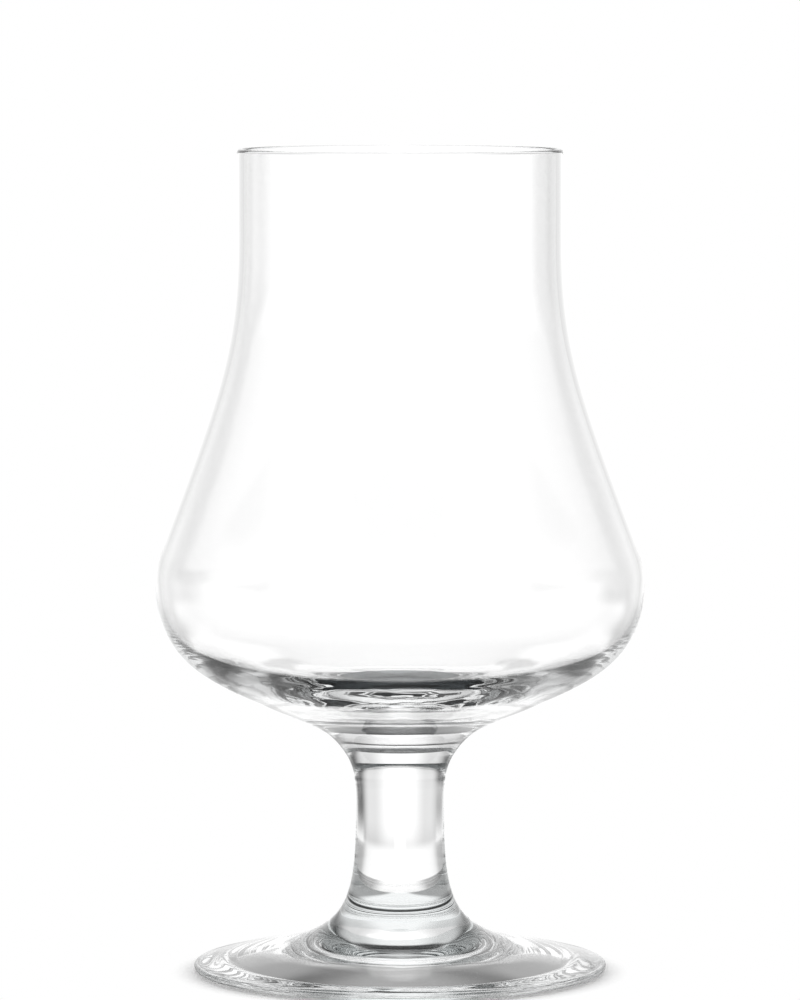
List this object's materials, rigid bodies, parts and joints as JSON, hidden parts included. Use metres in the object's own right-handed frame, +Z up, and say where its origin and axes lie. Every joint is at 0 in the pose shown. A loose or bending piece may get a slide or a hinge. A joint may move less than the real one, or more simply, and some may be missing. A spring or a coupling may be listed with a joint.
{
  "type": "whisky nosing glass",
  "caption": "Clear stemmed nosing glass: tulip bowl with a straight chimney and heavy base, short solid waisted stem and round foot.",
  "frame": {"origin": "centre of the contact ring on the table", "axes": "+Z up along the axis of the glass, from the foot to the rim; the glass is round, so +X and +Y are alike"},
  "size_m": [0.0742, 0.0742, 0.125],
  "materials": {
    "clear_glass": "clear, fire-polished"
  },
  "bodies": {
    "root": {"bowl": "clear_glass", "stem": "clear_glass", "foot": "clear_glass"}
  },
  "joints": []
}
